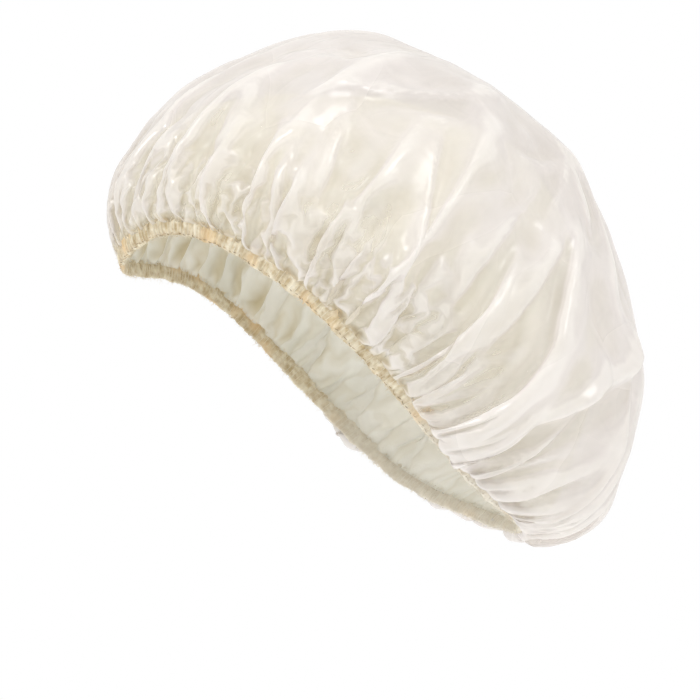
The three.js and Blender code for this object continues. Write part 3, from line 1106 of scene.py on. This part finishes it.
def filmFinish(look):
    material, tree, output = newMaterial("milkyFilm")
    flat = add(tree, "ShaderNodeUVMap", uv_map="flat").outputs["UV"]
    fromTop = vectors(tree, "SUBTRACT", flat, (0.5, 0.5, 0.0))
    heading = vectors(tree, "NORMALIZE", fromTop)
    distance = vectors(tree, "LENGTH", fromTop, out="Value")
    # long creases that run from the hem towards the top
    rise = add(tree, "ShaderNodeCombineXYZ", {"Z": distance}).outputs["Vector"]
    sideways = vectors(tree, "SCALE", heading, Scale=look["creaseAround"])
    upwards = vectors(tree, "SCALE", rise, Scale=look["creaseUp"])
    lines = vectors(tree, "ADD", sideways, upwards)
    ridges = []
    for scale, depth in look["creases"]:
        fold = maths(tree, "SUBTRACT", clouded(tree, lines, scale, 1.5, Roughness=0.4), 0.5)
        bent = maths(tree, "MULTIPLY", maths(tree, "ABSOLUTE", fold), look["creaseWidth"])
        ridges.append(maths(tree, "MULTIPLY", maths(tree, "MINIMUM", bent, 1.0), depth))
    # straight creases from how it was packed
    drift = clouded(tree, flat, 9.0, 2.0, out="Color")
    shifted = vectors(tree, "MULTIPLY_ADD", drift, look["packingDrift"], flat)
    for scale, width, depth in look["packing"]:
        toEdge = cellular(tree, shifted, scale, "DISTANCE_TO_EDGE").outputs["Distance"]
        ridges.append(ranged(tree, toEdge, 0.0, width, 0.0, depth, smooth=True))
    # where the creased film lies double it is denser
    patchScale, single, doubled, denser = look["double"]
    patches = cellular(tree, shifted, patchScale, "F1")
    patchValue = add(tree, "ShaderNodeSeparateColor", {"Color": patches.outputs["Color"]})
    double = ranged(tree, patchValue.outputs["Red"], single, doubled)
    # each patch between creases tilts its own way
    tilted = vectors(tree, "SUBTRACT", patches.outputs["Color"], (0.5, 0.5, 0.5))
    fromCentre = vectors(tree, "SUBTRACT", shifted, patches.outputs["Position"])
    facet = vectors(tree, "DOT_PRODUCT", tilted, fromCentre, out="Value")
    crinkle = clouded(tree, flat, look["crinkle"][0], 3.0, Roughness=0.5)
    relief = maths(tree, "MULTIPLY", crinkle, look["crinkle"][1])
    relief = maths(tree, "MULTIPLY_ADD", facet, look["tilt"], relief)
    for ridge in ridges:
        relief = maths(tree, "ADD", relief, ridge)
    strength, high = look["bump"]
    bump = add(tree, "ShaderNodeBump", {"Strength": strength, "Distance": high, "Height": relief})
    normal = bump.outputs["Normal"]
    # painted shade in the valleys near the hem, in the beige of the lining and elastic behind it, and
    # the elastic's own beige showing through right at the hem
    fromHem, front = valueOf(tree, "fromHem"), valueOf(tree, "front")
    noiseScale, noiseReach = look["hemNoise"]
    patchy = clouded(tree, flat, noiseScale, 2.0)
    nearer = maths(tree, "SUBTRACT", fromHem, noiseReach / 2)
    unevenly = maths(tree, "MULTIPLY_ADD", patchy, noiseReach, nearer)
    atHem = ranged(tree, unevenly, *look["hemRange"], smooth=True)
    nearHem = ranged(tree, fromHem, *look["valleyRange"], smooth=True)
    deep = maths(tree, "MULTIPLY_ADD", nearHem, *look["valleyStrength"])
    deep = maths(tree, "MULTIPLY", valueOf(tree, "valley"), deep)
    facing = maths(tree, "MULTIPLY_ADD", front, *look["frontStrength"])
    deep = maths(tree, "MULTIPLY", deep, facing)
    edge = maths(tree, "MULTIPLY", atHem, maths(tree, "MULTIPLY", front, look["hemStrength"]))
    # painted shade in every hollow, less towards the top
    hollow = valueOf(tree, "hollow")
    sunk = ranged(tree, hollow, *look["sunk"], smooth=True)
    # a painted highlight that whitens the ridges
    level, ridgeHighlight, whiter = look["ridgeHighlight"]
    ridgeHighlight = ranged(tree, hollow, level, ridgeHighlight, 0.0, whiter, smooth=True)
    lower = maths(tree, "MULTIPLY", ranged(tree, fromHem, *look["hollowShadeRange"]), front)
    hollowShade = maths(tree, "MULTIPLY_ADD", lower, *look["hollowShadeStrength"])
    hollowShade = maths(tree, "MULTIPLY", sunk, hollowShade)
    paintedShadeAndHemBeige = maths(tree, "MAXIMUM", maths(tree, "MAXIMUM", deep, edge), hollowShade)
    colour = mixed(tree, ridgeHighlight, ramped(tree, paintedShadeAndHemBeige, look["tones"]), look["ridge"])
    body = glowing(tree, look, colour, normal)
    clear = add(tree, "ShaderNodeBsdfTransparent", {"Color": look["clear"]})
    # it clings to the lining in the hollows, stands off on the ridges, and is whiter along a crease
    side = add(tree, "ShaderNodeLayerWeight", {"Blend": look["edgeBlend"], "Normal": normal})
    milky = ranged(tree, side.outputs["Facing"], 0.0, 1.0, *look["cover"])
    milky = maths(tree, "MULTIPLY_ADD", double, denser, milky)
    cloudScale, cloudStrength = look["clouds"]
    clouds = maths(tree, "SUBTRACT", clouded(tree, shifted, cloudScale, 2.0), 0.5)
    milky = maths(tree, "MULTIPLY_ADD", clouds, cloudStrength, milky)
    milky = maths(tree, "MULTIPLY_ADD", sunk, look["sunkCover"], milky)
    # the ridges' painted highlight also makes the film milkier there
    milky = maths(tree, "MULTIPLY_ADD", ridgeHighlight, look["raisedCover"], milky)
    creased = maths(tree, "SUBTRACT", look["packing"][0][2], ridges[2])
    milky = maths(tree, "ADD", milky, maths(tree, "MULTIPLY", creased, look["worn"]))
    cover = ranged(tree, milky, *look["coverRange"], smooth=True)
    tree.links.new(blended(tree, cover, clear.outputs[0], body), output.inputs["Surface"])
    return material


# what the cloth and thread finishes share
softLook = {
    "toneRange": (0.35, 0.65),
    "toneDetail": 4.0,
    "spotScale": 70.0,
    "spotRange": (0.55, 0.72, 0.0, 0.7),  # clouds, and how far they take the tone of the spots
    "atNape": 0.3,  # share of its own tone that is left at the nape
    "fibres": {"Roughness": 0.7, "Distortion": 1.2},
    "fibreDetail": 3.0,
    "fibreHeight": 0.0004,
}


def softFinish(name, look):
    # a colour that drifts, painted shade in the valleys and hollows where the look has a crevice
    # shade, and a fibrous bump
    material, tree, output = newMaterial(name)
    place = add(tree, "ShaderNodeTexCoord").outputs["Object"]
    cloud = clouded(tree, place, look["cloudScale"], softLook["toneDetail"])
    tones = zip(softLook["toneRange"], (look["dark"], look["light"]))
    colour = ramped(tree, cloud, list(tones))
    if "spots" in look:
        where = clouded(tree, place, softLook["spotScale"], 1.0)
        where = ranged(tree, where, *softLook["spotRange"])
        colour = mixed(tree, where, colour, look["spots"])
    front = ranged(tree, valueOf(tree, "front"), 0.0, 1.0, softLook["atNape"], 1.0)
    if "nape" in look:
        colour = mixed(tree, front, look["nape"], colour)
    # painted shade in the valleys near the hem and in the hollows
    if "creviceShade" in look:
        near = ranged(tree, valueOf(tree, "fromHem"), *look["creviceRange"])
        deep = maths(tree, "MULTIPLY", valueOf(tree, "valley"), near)
        deep = maths(tree, "MULTIPLY", deep, front)
        sunk = ranged(tree, valueOf(tree, "hollow"), *look["hollowRange"], smooth=True)
        colour = mixed(tree, maths(tree, "MAXIMUM", deep, sunk), colour, look["creviceShade"])
    detail = softLook["fibreDetail"]
    fibres = clouded(tree, place, look["fibreScale"], detail, **softLook["fibres"])
    inputs = {"Strength": look["bump"], "Distance": softLook["fibreHeight"], "Height": fibres}
    normal = add(tree, "ShaderNodeBump", inputs).outputs["Normal"]
    body = glowing(tree, look, colour, normal, Normal=normal)
    tree.links.new(body, output.inputs["Surface"])
    return material


liningLook = {
    "dark": (0.865, 0.86, 0.795, 1),
    "light": (0.95, 0.943, 0.89, 1),
    "creviceShade": (0.54, 0.45, 0.25, 1),  # painted shade in its valleys
    "creviceRange": (0.045, 0.005),  # distance from the hem
    "hollowRange": (0.46, 0.85, 0.0, 0.17),  # hollows, and how far they take the painted shade
    "cloudScale": 35.0,
    "fibreScale": 900.0,
    "bump": 0.3,
    "rough": 0.85,
    "glow": 0.35,
}
elasticLook = {
    "dark": (0.62, 0.50, 0.30, 1),
    "light": (0.96, 0.90, 0.74, 1),
    "spots": (0.90, 0.69, 0.40, 1),
    "nape": (0.90, 0.865, 0.79, 1),  # where it is paler, at the back
    "cloudScale": 330.0,
    "fibreScale": 1500.0,
    "bump": 0.6,
    "rough": 0.9,
    "glow": 0.25,
}
overlockLook = {
    "dark": (0.74, 0.66, 0.50, 1),
    "light": (0.95, 0.91, 0.80, 1),
    "spots": (0.92, 0.74, 0.48, 1),
    "nape": (0.90, 0.87, 0.80, 1),
    "cloudScale": 220.0,
    "fibreScale": 2500.0,
    "bump": 0.2,
    "rough": 0.8,
    "glow": 0.3,
}
# tan thread, dark enough that it also serves as a painted shadow line under the elastic
needleShadowLineLook = {
    "dark": (0.30, 0.22, 0.12, 1),
    "light": (0.66, 0.52, 0.32, 1),
    "nape": (0.82, 0.78, 0.70, 1),
    "cloudScale": 260.0,
    "fibreScale": 2500.0,
    "bump": 0.2,
    "rough": 0.8,
    "glow": 0.1,
}
film.data.materials.append(filmFinish(filmLook))
lining.data.materials.append(softFinish("nonwovenPaintedShade", liningLook))
elastic.data.materials.append(softFinish("beigeElastic", elasticLook))
stitches.data.materials.append(softFinish("creamThread", overlockLook))
fluff.data.materials.append(softFinish("creamThread", overlockLook))
edgeStitchShadowLine.data.materials.append(softFinish("tanThreadShadowLine", needleShadowLineLook))
print("the finishes are on")

studio = {
    "floor": -0.55,
    "floorRadius": 1.5,
    "background": 1.0,  # how bright the surround looks
    "surround": 0.745,  # and how strongly it lights the cap
    "paper": (0.92, 0.92, 0.92, 1),
    "paperGlow": 0.35,
}
lamps = (  # name, degrees around and up, distance, size and power
    ("key", 118, 38, 1.5, 0.45, 9),
    ("glint", 30, 35, 1.2, 0.2, 5.5),
    ("behind", 255, 10, 1.6, 2.0, 5),
)


def addWorld():
    world = bpy.data.worlds.new("studio")
    scene.world = world
    world.use_nodes = True
    tree = world.node_tree
    tree.nodes.clear()
    white = (1, 1, 1, 1)
    shown, lit = (
        add(tree, "ShaderNodeBackground", {"Color": white, "Strength": studio[key]}).outputs[0]
        for key in ("background", "surround")
    )
    seen = add(tree, "ShaderNodeLightPath").outputs["Is Camera Ray"]
    output = add(tree, "ShaderNodeOutputWorld")
    tree.links.new(blended(tree, seen, lit, shown), output.inputs["Surface"])
    scene.view_settings.view_transform = "Standard"


def addFloor():
    bpy.ops.mesh.primitive_circle_add(
        vertices=96,
        radius=studio["floorRadius"],
        fill_type="NGON",
        location=(0, 0, studio["floor"]),
    )
    floor = bpy.context.object
    floor.name = "floor"
    bpy.ops.object.transform_apply(location=True, rotation=True, scale=True)
    material, tree, output = newMaterial("whitePaper")
    inputs = {
        "Roughness": 0.9,
        "Base Color": studio["paper"],
        "Emission Color": (1, 1, 1, 1),
        "Emission Strength": studio["paperGlow"],
    }
    skin = add(tree, "ShaderNodeBsdfPrincipled", inputs)
    tree.links.new(skin.outputs[0], output.inputs["Surface"])
    floor.data.materials.append(material)


def addLamp(name, azimuth, elevation, distance, size, power):
    data = bpy.data.lights.new(name, "AREA")
    data.size = size
    data.energy = power
    aimAtCap(name, data, azimuth, elevation, distance).visible_camera = False


addWorld()
addFloor()
for lamp in lamps:
    addLamp(*lamp)
print("the studio is lit by", len(lamps), "lamps")


def tellSheet(piece, spec, lengths):
    # the cut's size, from its edge laid flat
    radius = cutRadius(spec, lengths)
    turn = np.arange(len(radius)) * math.tau / len(radius)
    x, y = radius * np.cos(turn), radius * np.sin(turn)
    area = 0.5 * float(np.sum(x * np.roll(y, -1) - y * np.roll(x, -1)))
    covered = sum(p.area for p in piece.data.polygons) / area
    print(piece.name, "covers", round(covered, 3), "of its cut's area")


tellSheet(film, filmSpec, filmLengths)
tellSheet(lining, liningSpec, liningLengths)
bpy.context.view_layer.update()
triangles = {p[0].name: sum(len(f.vertices) - 2 for f in p[0].data.polygons) for p in pieces}
print("triangles", triangles)
